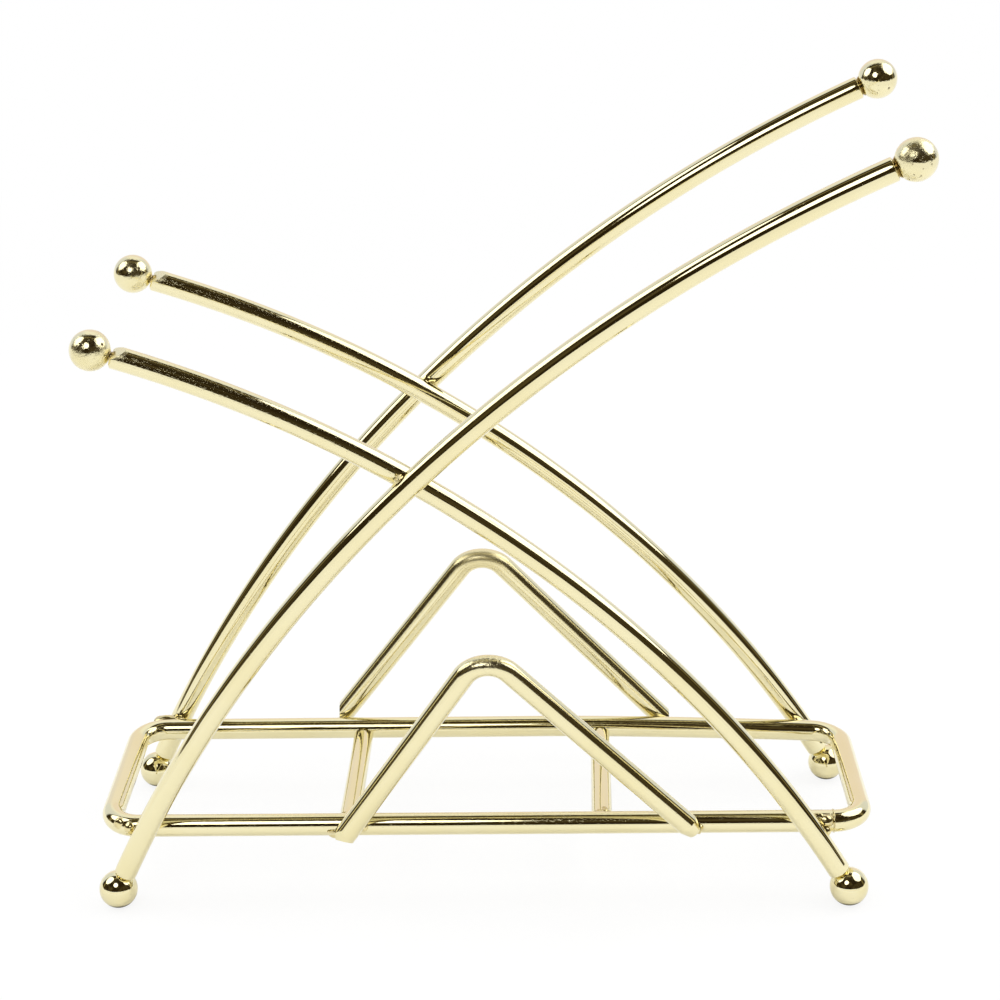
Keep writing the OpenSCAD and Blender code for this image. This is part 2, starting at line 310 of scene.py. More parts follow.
# Curved arms, each an arc from its foot ball to its tip ball
class Arm:
    def __init__(self, foot_ball, tip_ball, bend_r, bulge, tip_end, tip_gap, filed):
        self.foot = ball_centre(foot_ball)
        self.tip = ball_centre(tip_ball)
        self.bend_r = bend_r
        self.tip_end = tip_end
        self.tip_gap = tip_gap
        self.filed = filed
        span = self.tip - self.foot
        self.rise = Vector((0, span.y, span.z)).normalized()
        self.axis = ACROSS.cross(self.rise)
        chord = Vector((span.x, span.dot(self.rise)))
        inward = Vector((chord.y, -chord.x)).normalized() * bulge
        flat = chord / 2 + inward * math.sqrt(bend_r ** 2 - chord.length_squared / 4)
        self.centre = self.foot + ACROSS * flat.x + self.rise * flat.y
        self.way = -bulge
        self.start = self.angle(self.foot) + self.way * (ball_r + FOOT_GAP) / bend_r
        self.end = self.angle(self.tip) - self.way * (ball_r + tip_gap) / bend_r

    def angle(self, point):
        out = point - self.centre
        return math.atan2(out.dot(self.rise), out.x)

    def at(self, angle):
        return self.centre + self.bend_r * (ACROSS * math.cos(angle) + self.rise * math.sin(angle))

    def along(self, angle):
        """The direction of the wire there, towards its tip."""
        return self.way * (self.rise * math.cos(angle) - ACROSS * math.sin(angle))

    def make(self, name):
        start = self.at(self.start)
        facing = self.along(self.start)
        piece = start_blank(name, wire_r - FOOT_CHAMFER, start, facing)
        draw_cone(facing * FOOT_CHAMFER, start + facing * FOOT_CHAMFER, wire_r - FOOT_CHAMFER, wire_r)
        first = self.start + self.way * FOOT_CHAMFER / self.bend_r
        last = self.end - self.way * length_of(self.tip_end) / self.bend_r
        draw_bend(self.centre, self.axis, last - first, self.bend_r, STEP)
        draw_end(self.tip_end, self.along(last), self.at(last), wire_r)
        close_mesh(piece)
        if self.filed:
            clip_end(piece, *self.filed_flat())
        round_edges(piece)
        return piece

    def filed_flat(self):
        """The middle of the flat filed on the tip, and the way that it faces."""
        end = self.at(self.end)
        along = self.along(self.end)
        upward = (end - self.centre).normalized()
        out = upward * math.cos(TIP_FLAT_TURN) - AWAY * math.sin(TIP_FLAT_TURN)
        facing = along * math.sin(TIP_FLAT_SLOPE) + out * math.cos(TIP_FLAT_SLOPE)
        return end - along * TIP_FLAT_BACK + out * TIP_FLAT_OUT, facing

    def path(self):
        turn = self.end - self.start
        steps = math.ceil(abs(turn) * self.bend_r / PATH_STEP)
        return [self.at(self.start + turn * k / steps) for k in range(steps + 1)]

    def at_rail(self):
        """The joint on the outside of the rail, found in steps because the rail sags."""
        joint = self.foot
        for _ in range(3):
            height = (rail_z - sag(joint) - self.centre.z) / self.rise.z
            angle = math.asin(height / self.bend_r)
            if self.way < 0:
                angle = math.pi - angle
            joint = self.at(angle)
        return Vector((joint.x, math.copysign(joint_y, joint.y), joint.z))


def long_arm(side):
    balls = side + "_left_foot_ball", side + "_right_tip_ball"
    return Arm(*balls, LONG_BEND_R, 1, LONG_TIP_END, LONG_TIP_GAP, filed=False)


def short_arm(side):
    balls = side + "_right_foot_ball", side + "_left_tip_ball"
    return Arm(*balls, SHORT_BEND_R, -1, SHORT_TIP_END, SHORT_TIP_GAP, filed=True)


arms = {
    "front_long_arm": long_arm("front"),
    "back_long_arm": long_arm("back"),
    "front_short_arm": short_arm("front"),
    "back_short_arm": short_arm("back"),
}


def crossing(side):
    """The point half way between the two arms of a side where they cross."""
    best = None
    long_path = arms[side + "_long_arm"].path()
    for point in arms[side + "_short_arm"].path():
        near = min(long_path, key=lambda other: (other.x - point.x) ** 2 + (other.z - point.z) ** 2)
        gap = (near.x - point.x) ** 2 + (near.z - point.z) ** 2
        if best is None or gap < best[0]:
            best = (gap, (near + point) / 2)
    return best[1]


# How the legs of the peaks end: how far each runs past the rail's centre, its form, and the flat cuts
# that trim it, each as a shift from the joint and the way the cut faces
FRONT_LEGS = {
    LEFT: (0.0034, CUT_END, [
        ((-0.0020, 0, 0), (-1, 0, 0)),
        ((0.00004, -0.00249, -0.00014), (-0.22, -0.47, -0.856)),
        ((-0.00026, -0.00208, 0.00202), (-0.584, -0.802, 0.092))]),
    RIGHT: (-0.0005, FILED_END, [])}
BACK_LEGS = {
    LEFT: (0.0012, CUT_END, [((0, 0, 0), (-1, 0, 0))]),
    RIGHT: (0.0026, CUT_END, [((0.00235, 0, 0), (1, 0, 0))])}

# How far a cut reaches, how far and how deep a peak's bend is pressed flat, and the points along it
CUT_REACH = 0.007
PRESS_REACH, PRESS_DEPTH = 0.010, 0.00045
BEND_POINTS = 24


def cut_flat(point, facing):
    """Cuts off what is selected past a plane and closes the cut."""
    bpy.ops.mesh.bisect(
        plane_co=point, plane_no=facing, use_fill=True, clear_outer=True, threshold=CUT_GAP)


def clip_end(piece, point, facing):
    """Clips off what stands out past a flat cut at the end of a wire."""
    near = [(vertex.co - point).length < CUT_REACH for vertex in piece.data.vertices]
    for group in (piece.data.edges, piece.data.polygons):
        for part in group:
            part.select = all(near[k] for k in part.vertices)
    for vertex in piece.data.vertices:
        vertex.select = near[vertex.index]
    bpy.ops.object.mode_set(mode="EDIT")
    cut_flat(point, facing)
    close_mesh(piece)


def flatten_bend(piece, top):
    """Presses the outside of a peak's bend a little flat, as bending leaves it."""
    for vertex in piece.data.vertices:
        near = max(0, 1 - (vertex.co - top).length / PRESS_REACH)
        outside = max(0, 1 - (top.z - vertex.co.z) / (2 * wire_r))
        vertex.co.z -= PRESS_DEPTH * near * (2 - near) * outside


# Peaks, each one wire bent to an upside-down V
class Peak:
    def __init__(self, node, x, turn, legs):
        self.y = middle(node).y
        self.turn = turn
        self.legs = legs
        lift = PEAK_BEND_R / math.sin(PEAK_ANGLE / 2)
        inward = Vector((math.sin(turn), 0, -math.cos(turn)))
        self.centre = Vector((x, self.y, PEAK_MEET_Z)) + lift * inward

    def slant(self, hand):
        return PEAK_ANGLE / 2 + hand * self.turn

    def down(self, hand):
        return Vector((hand * math.sin(self.slant(hand)), 0, -math.cos(self.slant(hand))))

    def shoulder(self, hand):
        """Where the bend ends and a leg begins."""
        out = Vector((hand * math.cos(self.slant(hand)), 0, math.sin(self.slant(hand))))
        return self.centre + PEAK_BEND_R * out

    def leg(self, hand):
        reach = (PEAK_MEET_Z - rail_z) / math.cos(self.slant(hand)) + self.legs[hand][0]
        return reach - PEAK_BEND_R / math.tan(PEAK_ANGLE / 2)

    def end(self, hand):
        return self.shoulder(hand) + self.down(hand) * self.leg(hand)

    def at_rail(self, hand):
        point = self.end(hand) - self.down(hand) * self.legs[hand][0]
        return Vector((point.x, math.copysign(joint_y, self.y), rail_z))

    def top(self):
        return self.centre + UP * (PEAK_BEND_R + wire_r)

    def make(self, name):
        up = -self.down(LEFT)
        piece = start_blank(name, wire_r * CUT_END[0][1], self.end(LEFT), up)
        chamfer = up * CUT_END[0][0]
        draw_cone(chamfer, self.end(LEFT) + chamfer, wire_r * CUT_END[0][1], wire_r)
        draw_straight(up * self.leg(LEFT) - chamfer)
        draw_bend(self.centre, AWAY, math.pi - PEAK_ANGLE, PEAK_BEND_R, BEND_STEP / 2)
        form = self.legs[RIGHT][1]
        run = self.down(RIGHT) * (self.leg(RIGHT) - length_of(form))
        draw_straight(run)
        draw_end(form, self.down(RIGHT), self.shoulder(RIGHT) + run, wire_r)
        close_mesh(piece)
        for hand, (_, _, cuts) in self.legs.items():
            joint = self.at_rail(hand)
            joint.y = self.y
            for shift, facing in cuts:
                clip_end(piece, joint + Vector(shift), Vector(facing))
        round_edges(piece)
        flatten_bend(piece, self.top())
        return piece

    def path(self):
        points = [self.end(LEFT)]
        first = math.pi - self.slant(LEFT)
        last = self.slant(RIGHT)
        for k in range(BEND_POINTS + 1):
            angle = first + (last - first) * k / BEND_POINTS
            out = Vector((math.cos(angle), 0, math.sin(angle)))
            points.append(self.centre + PEAK_BEND_R * out)
        points.append(self.end(RIGHT))
        return dense(points)


peaks = {
    "front_peak": Peak("front_peak", FRONT_PEAK_X, FRONT_PEAK_TURN, FRONT_LEGS),
    "back_peak": Peak("back_peak", BACK_PEAK_X, BACK_PEAK_TURN, BACK_LEGS),
}


# Balls on the tips and the feet
BALL_SEGMENTS = 120
BALL_RINGS = 72
FOOT_FLAT_ROUND, FOOT_FLAT_ANGLE = 0.00025, math.radians(9)


def start_ball(name, centre, facing):
    bpy.ops.object.select_all(action="DESELECT")
    bpy.ops.mesh.primitive_uv_sphere_add(
        segments=BALL_SEGMENTS, ring_count=BALL_RINGS, radius=ball_r,
        location=centre, rotation=facing.to_track_quat("Z", "Y").to_euler())
    return settle(name)


def press_pit(piece, centre, towards, radius, depth):
    """Presses a small round pit into a ball, deepest at its middle."""
    spot = centre + Vector(towards).normalized() * ball_r
    for vertex in piece.data.vertices:
        away = (vertex.co - spot).length / radius
        if away < 1:
            inward = (centre - vertex.co).normalized()
            vertex.co += inward * depth * (0.5 + 0.5 * math.cos(math.pi * away))


def make_tip_ball(name, arm, pits):
    piece = start_ball(name, arm.tip, -arm.along(arm.end))
    for towards, radius, depth in pits:
        press_pit(piece, arm.tip, towards, radius, depth)
    return piece


def make_foot_ball(name, arm):
    """A ball cut flat where it stands, with the cut's edge rounded."""
    piece = start_ball(name, arm.foot, arm.along(arm.start))
    bpy.ops.object.mode_set(mode="EDIT")
    bpy.ops.mesh.select_all(action="SELECT")
    cut_flat((0, 0, 0), -UP)
    close_mesh(piece)
    round_edges(piece, FOOT_FLAT_ROUND, FOOT_FLAT_ANGLE)
    return piece


# Weld metal, with how far its surface is pulled out of shape
BEAD_ROUGH, SPILL_ROUGH = 0.00048, 0.0002
NECK_ROUGH, SEAM_ROUGH, COLLAR_ROUGH = 0.00003, 0.0001, 0.00015


def roughen(offset, seed):
    """Starts to edit the new piece and pulls its surface out of shape."""
    bpy.ops.object.mode_set(mode="EDIT")
    bpy.ops.mesh.select_all(action="SELECT")
    bpy.ops.transform.vertex_random(offset=offset, uniform=0, normal=1, seed=seed)


def lump(place, size, seed, rough=BEAD_ROUGH):
    """A bead of weld metal: a round lump pulled out of shape and smoothed again."""
    bpy.ops.object.select_all(action="DESELECT")
    bpy.ops.mesh.primitive_ico_sphere_add(subdivisions=2, radius=1, location=place, scale=size)
    piece = settle("weld_lump")
    roughen(rough, seed)
    bpy.ops.object.mode_set(mode="OBJECT")
    flow = piece.modifiers.new("smooth_metal", "SUBSURF")
    flow.levels = 2
    flow.render_levels = 2
    apply_modifier(piece, flow)
    return piece


# A neck is sunk into the wire and the ball. Its rings are shares of its length and of its radius
NECK_SUNK = 0.0005
NECK_START = 1.3
NECK_RINGS = [(0.2, 1.12), (0.4, 0.98), (0.6, 0.96), (0.8, 1.06), (1.0, 1.25)]


def neck(name, place, facing, gap, radius, seed):
    """The short waist of weld metal between a wire's end and its ball."""
    start = place - facing * NECK_SUNK
    length = gap + 2 * NECK_SUNK
    piece = start_blank(name, radius * NECK_START, start, facing)
    now = radius * NECK_START
    reach = 0
    for share, wide in NECK_RINGS:
        run = length * share - reach
        reach += run
        draw_cone(facing * run, start + facing * reach, now, radius * wide)
        now = radius * wide
    roughen(NECK_ROUGH, seed)
    return close_mesh(piece)


# The ring at the loop's seam: how far it is sunk into the wire, its half width and its shift along the wire
SEAM_SUNK, SEAM_WIDTH, SEAM_SHIFT = 0.00008, 0.00024, -0.0003


def seam_ridge(seed):
    """The raised ring round the wire at the loop's seam."""
    facing = seam_facing()
    bpy.ops.object.select_all(action="DESELECT")
    bpy.ops.mesh.primitive_torus_add(
        major_radius=wire_r - SEAM_SUNK, minor_radius=SEAM_WIDTH, major_segments=72, minor_segments=14,
        location=seam_place() + facing * SEAM_SHIFT, rotation=facing.to_track_quat("Z", "Y").to_euler())
    piece = settle("seam_ridge")
    roughen(SEAM_ROUGH, seed)
    bpy.ops.mesh.vertices_smooth(factor=0.5, repeat=2)
    bpy.ops.object.mode_set(mode="OBJECT")
    return piece


# The rings at the cross bars' ends: how far they stand out from the bar and their half width, how much
# their lower part is raised and from where on, and how far up and down the rail they reach
COLLAR_OUT = {FRONT: 0.0001, BACK: -0.00024}
COLLAR_WIDTH = {FRONT: 0.00032, BACK: 0.0002}
COLLAR_LIFT, COLLAR_LIFT_FROM = 0.0008, 0.4
COLLAR_REACH = 0.94


def collar(bar, side, seed):
    """The ring of weld round a cross bar's end, bent to the rail that it lies against."""
    low, high = corners(bar)
    bar_r = (high.x - low.x) / 2
    face = side * (rail_y - wire_r)
    bpy.ops.object.select_all(action="DESELECT")
    bpy.ops.mesh.primitive_torus_add(
        major_radius=bar_r + COLLAR_OUT[side], minor_radius=COLLAR_WIDTH[side],
        major_segments=64, minor_segments=14,
        location=(middle(bar).x, face, middle(bar).z), rotation=(math.pi / 2, 0, 0))
    piece = settle("bar_collar")
    roughen(COLLAR_ROUGH, seed)
    bpy.ops.mesh.vertices_smooth(factor=0.5, repeat=3)
    bpy.ops.object.mode_set(mode="OBJECT")
    for vertex in piece.data.vertices:
        below = max(0, (middle(bar).z - vertex.co.z) / bar_r - COLLAR_LIFT_FROM)
        vertex.co.z += COLLAR_LIFT * below
        off = min(abs(vertex.co.z - rail_z), COLLAR_REACH * wire_r)
        vertex.co.y += side * (wire_r - math.sqrt(wire_r ** 2 - off ** 2))
    return sink(piece)


# Joints: where the weld metal is, and where the plating is tinted by it
front_cross = crossing("front")
back_cross = crossing("back")
arm_joints = [arm.at_rail() for arm in arms.values()]
leg_joints = [sunk(peak.at_rail(hand)) for peak in peaks.values() for hand in (LEFT, RIGHT)]
bar_joints = {
    (bar, side): sunk(Vector((middle(bar).x, side * (rail_y - wire_r), middle(bar).z)))
    for bar in BARS for side in (FRONT, BACK)}
end_joints = [arm.at(arm.end) for arm in arms.values()] + [arm.at(arm.start) for arm in arms.values()]
tinted = arm_joints + leg_joints + [bar_joints[bar, FRONT] for bar in BARS] + end_joints
tinted += [front_cross, back_cross, seam_place()]

# A direction that no wire runs in, and how many vertices are compared with a path at once
SKEW = (0.31, 0.47, 0.83)
BATCH = 4000


def places_of(piece):
    """The places of a piece's vertices, one in each row."""
    flat = np.empty(len(piece.data.vertices) * 3)
    piece.data.vertices.foreach_get("co", flat)
    return flat.reshape(-1, 3)


def lay_strand(piece, path):
    """Gives a wire its own straightened place: along it, and across it in two directions."""
    spots = np.array([tuple(p) for p in path])
    runs = np.gradient(spots, axis=0)
    runs /= np.linalg.norm(runs, axis=1)[:, None]
    along = np.concatenate([[0], np.cumsum(np.linalg.norm(np.diff(spots, axis=0), axis=1))])
    side = np.cross(runs[0], SKEW)
    sides = []
    for run in runs:
        side = side - run * side.dot(run)
        side = side / np.linalg.norm(side)
        sides.append(side)
    sides = np.array(sides)
    places = places_of(piece)
    strand = np.empty(places.shape)
    for start in range(0, len(places), BATCH):
        some = slice(start, start + BATCH)
        near = ((places[some, None, :] - spots[None, :, :]) ** 2).sum(axis=2).argmin(axis=1)
        out = places[some] - spots[near]
        strand[some, 0] = along[near] + (out * runs[near]).sum(axis=1)
        strand[some, 1] = (out * sides[near]).sum(axis=1)
        strand[some, 2] = (out * np.cross(runs[near], sides[near])).sum(axis=1)
    layer = piece.data.attributes.new("strand", "FLOAT_VECTOR", "POINT")
    layer.data.foreach_set("vector", strand.ravel())


def lay_share(piece, name, spots, reach, least=0):
    """A share that falls from 1 at the given spots with the distance, down to the least one."""
    places = places_of(piece)
    share = np.full(len(places), float(least))
    for spot in spots:
        away = np.linalg.norm(places - np.array(tuple(spot)), axis=1)
        share = np.maximum(share, 1 - away / reach)
    layer = piece.data.attributes.new(name, "FLOAT", "POINT")
    layer.data.foreach_set("value", share)


# Materials
class Tone:
    """A value, vector or colour in a node tree. Sums of values add Math nodes."""

    def __init__(self, tree, socket=None):
        self.tree = tree
        self.socket = socket

    def add(self, kind, settings, sockets, out=0):
        node = self.tree.nodes.new("ShaderNode" + kind)
        for name, value in settings.items():
            setattr(node, name, value)
        for name, value in sockets.items():
            if isinstance(value, Tone):
                self.tree.links.new(value.socket, node.inputs[name])
            else:
                node.inputs[name].default_value = value
        return Tone(self.tree, node.outputs[out] if node.outputs else None)

    def share(self, name):
        """A share that is laid on the vertices."""
        return self.add("Attribute", {"attribute_name": name}, {}, "Fac")

    def sum(self, operation, first, second):
        return self.add("Math", {"operation": operation}, {0: first, 1: second})

    def __add__(self, other):
        return self.sum("ADD", self, other)

    def __radd__(self, other):
        return self.sum("ADD", other, self)

    def __sub__(self, other):
        return self.sum("SUBTRACT", self, other)

    def __rsub__(self, other):
        return self.sum("SUBTRACT", other, self)

    def __mul__(self, other):
        return self.sum("MULTIPLY", self, other)

    def __rmul__(self, other):
        return self.sum("MULTIPLY", other, self)

    def stretch(self, by):
        return self.add("VectorMath", {"operation": "MULTIPLY"}, {0: self, 1: by})

    def noise(self, scale, detail=2.0, rough=0.5):
        sockets = {"Vector": self, "Scale": scale, "Detail": detail, "Roughness": rough}
        return self.add("TexNoise", {}, sockets)

    def step(self, low, high):
        settings = {"interpolation_type": "SMOOTHSTEP"}
        return self.add("MapRange", settings, {"Value": self, "From Min": low, "From Max": high})

    def mix(self, low, high):
        return self.add("Mix", {"data_type": "RGBA"}, {0: self, 6: low, 7: high}, 2)


PALE_GOLD = (0.875, 0.800, 0.500, 1)
WIRE_CLOUD_GOLD = (0.860, 0.775, 0.455, 1)
BALL_CLOUD_GOLD = (0.850, 0.765, 0.440, 1)
DEEP_GOLD = (0.810, 0.700, 0.360, 1)
AMBER = (0.440, 0.345, 0.170, 1)
SCALE_BROWN = (0.260, 0.190, 0.085, 1)
WELD_GOLD = (0.800, 0.690, 0.350, 1)
BAR_WELD_GOLD = (0.680, 0.560, 0.250, 1)
PIT_BROWN = (0.150, 0.100, 0.040, 1)
LACQUER = 0.5
WIRE_RELIEF, BALL_RELIEF, WELD_RELIEF = 0.00006, 0.00004, 0.00006


def new_finish(name):
    material = bpy.data.materials.new(name)
    material.use_nodes = True
    material.node_tree.nodes.clear()
    return material, Tone(material.node_tree)


def plate(material, start, colour, roughness, height, depth):
    """Ends a finish: polished metal with the given colour, roughness and fine relief."""
    relief = start.add("Bump", {}, {"Strength": 1.0, "Distance": depth, "Height": height})
    shine = start.add("BsdfPrincipled", {}, {
        "Base Color": colour, "Metallic": 1.0, "Roughness": roughness, "Coat Weight": LACQUER,
        "Normal": relief})
    start.add("OutputMaterial", {}, {"Surface": shine})
    return material


def make_wire_finish():
    """Plated wire with fine lines along it, scuffs, file marks, and tint near the welds."""
    material, start = new_finish("pale_gold_wire")
    strand = start.add("Attribute", {"attribute_name": "strand"}, {}, "Vector")
    heat = start.share("weld_heat")
    worked = start.share("worked")
    worn = start.share("worn")
    filed = start.share("filed").step(0.405, 0.435)
    dulled = start.share("dulled").step(0.0, 0.7)
    place = start.add("TexCoord", {}, {}, "Object")
    drawn = strand.stretch((70, 2600, 2600)).noise(1.0, 3.0)
    scuffs = strand.stretch((900, 2400, 2400)).noise(1.0, 2.0).step(0.70, 0.78) * (0.25 + 0.75 * worn)
    scratches = strand.stretch((1500, 7000, 7000)).noise(1.0, 2.0).step(0.58, 0.70) * worn
    brushed = strand.stretch((5200, 500, 500)).noise(1.0, 2.0)
    clouds = place.noise(55.0, 2.0)
    grain = place.noise(1700.0, 2.0).step(0.32, 0.68)
    wave = strand.stretch((110, 260, 260)).noise(1.0, 1.0)
    coarse = worked.step(0.68, 0.92) * (1 - 0.75 * dulled)
    tint = heat.step(0.45, 1.0)
    gold = clouds.step(0.35, 0.75).mix(PALE_GOLD, WIRE_CLOUD_GOLD)
    gold = (scuffs * 0.35).mix(gold, DEEP_GOLD)
    gold = (dulled * 0.4).mix(gold, DEEP_GOLD)
    gold = (tint * 0.75).mix(gold, AMBER)
    rough = 0.035 + 0.03 * drawn + 0.12 * scuffs + 0.09 * scratches
    rough = rough + 0.14 * worked + 0.10 * coarse * grain
    rough = rough + 0.12 * tint + 0.16 * dulled + filed * (0.14 + 0.24 * brushed)
    height = 0.05 * drawn + 0.35 * wave - 0.35 * scuffs - 0.15 * scratches
    height = height + (0.16 * worked + 0.15 * filed) * brushed + 0.55 * coarse * grain
    return plate(material, start, gold, rough, height, WIRE_RELIEF)


def make_ball_finish(name, dull):
    """A plated ball, the duller the more specks, scratches and grain it shows."""
    material, start = new_finish(name)
    heat = start.share("weld_heat")
    pit = start.share("pit").step(0.15, 0.55)
    place = start.add("TexCoord", {}, {}, "Object")
    clouds = place.noise(160.0, 3.0)
    grain = place.noise(1700.0, 3.0).step(0.32, 0.68)
    patch = clouds.step(0.42, 0.60)
    specks = place.noise(1500.0, 1.0).step(0.71, 0.77)
    scratch = place.stretch((500, 2600, 900)).noise(1.0, 2.0).step(0.62, 0.70)
    tint = heat.step(0.5, 1.0)
    gold = clouds.step(0.35, 0.7).mix(PALE_GOLD, BALL_CLOUD_GOLD)
    gold = (specks * 0.7 * dull).mix(gold, PIT_BROWN)
    gold = (pit * 0.9).mix(gold, PIT_BROWN)
    gold = (tint * 0.85).mix(gold, SCALE_BROWN)
    rough = 0.03 + dull * (0.03 + 0.19 * patch + 0.06 * grain + 0.12 * scratch) + 0.10 * tint
    height = 0.8 * dull * (0.45 + 0.55 * patch) * grain - 0.6 * dull * specks + 0.10 * clouds
    return plate(material, start, gold, rough, height, BALL_RELIEF)


def make_weld_finish(name, pale, dark, dull):
    """Plated weld metal with clouds of two colours."""
    material, start = new_finish(name)
    place = start.add("TexCoord", {}, {}, "Object")
    clouds = place.noise(420.0, 3.0)
    grain = place.noise(1900.0, 3.0)
    gold = (clouds.step(0.45, 0.75) * 0.7).mix(pale, dark)
    gold = (grain.step(0.50, 0.80) * 0.7).mix(gold, PALE_GOLD)
    rough = dull + 0.10 * clouds + 0.06 * grain
    height = 0.4 * clouds + 0.10 * grain
    return plate(material, start, gold, rough, height, WELD_RELIEF)


wire_finish = make_wire_finish()
front_tip_finish = make_ball_finish("pale_gold_front_tip_ball", 1.0)
back_tip_finish = make_ball_finish("pale_gold_back_tip_ball", 0.55)
foot_finish = make_ball_finish("pale_gold_foot_ball", 0.12)
weld_finish = make_weld_finish("weld_gold", WELD_GOLD, AMBER, 0.05)
bead_finish = make_weld_finish("weld_dull_gold", WELD_GOLD, DEEP_GOLD, 0.34)
neck_finish = make_weld_finish("weld_brown", AMBER, SCALE_BROWN, 0.12)
collar_finish = make_weld_finish("weld_amber", BAR_WELD_GOLD, AMBER, 0.18)


# Edges sharper than this stay crisp: on wires, on balls and on weld metal
WIRE_CREASE, BALL_CREASE, WELD_CREASE = math.radians(10), math.radians(32), math.radians(75)


def hand_over(piece, finish, slot, crease, *nodes):
    """Smooths a finished piece, gives it its finish and sets it in its place in the frame."""
    bpy.ops.object.select_all(action="DESELECT")
    piece.select_set(True)
    bpy.context.view_layer.objects.active = piece
    bpy.ops.object.shade_smooth_by_angle(angle=crease)
    piece.data.materials.clear()
    piece.data.materials.append(finish)
    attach(piece, "root")
    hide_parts(*nodes)


# How far the marks of work and wear reach from their spots, and how worked and worn whole wires are
HEAT_REACH = 0.0042
BEND_REACH = 0.018
FILED_REACH = 0.0040
DULLED_REACH = 0.012
WORN_REACH = 0.10
PEAK_WORKED = {"front_peak": 0.30, "back_peak": 0.60}
RAIL_WORN = 0.3


def hand_over_wire(
        piece, path, node, worked=(), least_worked=0, worn=(), least_worn=0, filed=(), dulled=()):
    lay_strand(piece, path)
    lay_share(piece, "weld_heat", tinted, HEAT_REACH)
    lay_share(piece, "worked", worked, BEND_REACH, least_worked)
    lay_share(piece, "filed", filed, FILED_REACH)
    lay_share(piece, "dulled", dulled, DULLED_REACH)
    lay_share(piece, "worn", worn, WORN_REACH, least_worn)
    hand_over(piece, wire_finish, "plated_wire", WIRE_CREASE, node)


hand_over_wire(make_loop_wire(), loop_path(), "base_loop", least_worn=RAIL_WORN)
for hand in ("left", "right"):
    bar = "cross_bar_" + hand
    hand_over_wire(make_bar(hand + "_bar_wire", bar), bar_path(bar), bar)
for node, arm in arms.items():
    wire = arm.make(node + "_wire")
    if arm.filed:
        hand_over_wire(wire, arm.path(), node, worn=[arm.tip], filed=[arm.filed_flat()[0]])
    else:
        hand_over_wire(wire, arm.path(), node)
for node, peak in peaks.items():
    wire = peak.make(node + "_wire")
    dulled = [peak.top()] if "back" in node else ()
    hand_over_wire(wire, peak.path(), node, [peak.top()], PEAK_WORKED[node], dulled=dulled)

# Pits that show in the balls, as the way they face, their radius and their depth. The first one is brown
PITS = {
    "front_right_tip_ball": [
        ((-0.39, -0.50, -0.77), 0.00055, 0.00030),
        ((0.28, -0.92, -0.12), 0.0003, 0.00012)],
    "back_right_tip_ball": [
        ((0.50, -0.80, -0.30), 0.0005, 0.00025),
        ((-0.15, -0.80, -0.55), 0.0003, 0.00010)],
    "front_left_tip_ball": [
        ((0.75, -0.50, 0.45), 0.0004, 0.00018),
        ((-0.05, -0.85, -0.50), 0.0003, 0.00010)],
    "back_left_tip_ball": [
        ((0.45, -0.70, 0.50), 0.0003, 0.00012),
        ((0.15, -0.85, -0.5), 0.0003, 0.00009)],
}
TIP_HEAT_REACH, FOOT_HEAT_REACH, PIT_REACH = 0.0030, 0.0024, 0.0005

for node, arm in arms.items():
    side = node.split("_")[0]
    tip_hand, foot_hand = ("right", "left") if "long" in node else ("left", "right")
    tip_node = f"{side}_{tip_hand}_tip_ball"
    foot_node = f"{side}_{foot_hand}_foot_ball"
    tip_ball = make_tip_ball(tip_node.replace("ball", "knob"), arm, PITS[tip_node])
    foot_ball = make_foot_ball(foot_node.replace("ball", "knob"), arm)
    brown_pit = arm.tip + Vector(PITS[tip_node][0][0]).normalized() * ball_r
    lay_share(tip_ball, "weld_heat", end_joints, TIP_HEAT_REACH)
    lay_share(tip_ball, "pit", [brown_pit], PIT_REACH)
    lay_share(foot_ball, "weld_heat", end_joints, FOOT_HEAT_REACH)
    lay_share(foot_ball, "pit", (), PIT_REACH)
    tip_finish = front_tip_finish if side == "front" else back_tip_finish
    hand_over(tip_ball, tip_finish, "plated_ball", BALL_CREASE, tip_node)
    hand_over(foot_ball, foot_finish, "plated_ball", BALL_CREASE, foot_node)

# Beads of weld metal by their half sizes, and the radii of the necks
BEAD = 0.0021
ARM_BEAD = (BEAD * 1.1, BEAD * 0.9, BEAD * 1.1)
LEG_BEAD = (BEAD * 0.65, BEAD * 0.75, BEAD * 0.65)
CROSS_BEAD = (BEAD * 0.8, BEAD * 0.8, BEAD * 0.8)
LONG_NECK_R, SHORT_NECK_R, FOOT_NECK_R = 0.0019, 0.0010, 0.0012

# Weld metal spilled beside a joint, as how far off it lies and its half sizes
ARM_SPILLS = [
    ("front_short_arm", (0.0029, 0.0008, 0.0010), (0.0021, 0.0016, 0.0016)),
    ("front_short_arm", (0.0026, 0.0002, -0.0013), (0.0017, 0.0014, 0.0016)),
    ("front_short_arm", (0.0014, 0.0010, 0.0020), (0.0013, 0.0010, 0.0009)),
    ("front_short_arm", (0.0029, 0.0009, -0.0021), (0.0009, 0.0008, 0.0009)),
    ("front_long_arm", (-0.0056, 0.0021, 0.0008), (0.0018, 0.0014, 0.0016)),
    ("front_long_arm", (-0.0033, 0.0010, 0.0004), (0.0016, 0.0014, 0.0016)),
    ("front_long_arm", (-0.0026, 0.0008, -0.0011), (0.0011, 0.0010, 0.0010)),
    ("back_long_arm", (-0.0028, -0.0006, 0.0015), (0.0034, 0.0018, 0.0014)),
]
FRONT_LEFT_LEG_SPILLS = [
    ((-0.0022, 0.0025, -0.0012), (0.0030, 0.0023, 0.0023)),
    ((-0.0029, -0.00005, -0.00035), (0.0014, 0.0005, 0.00045)),
    ((-0.0017, -0.0001, 0), (0.0008, 0.0005, 0.0005)),
    ((0.0041, 0.0004, 0.0006), (0.0011, 0.0009, 0.0014)),
]
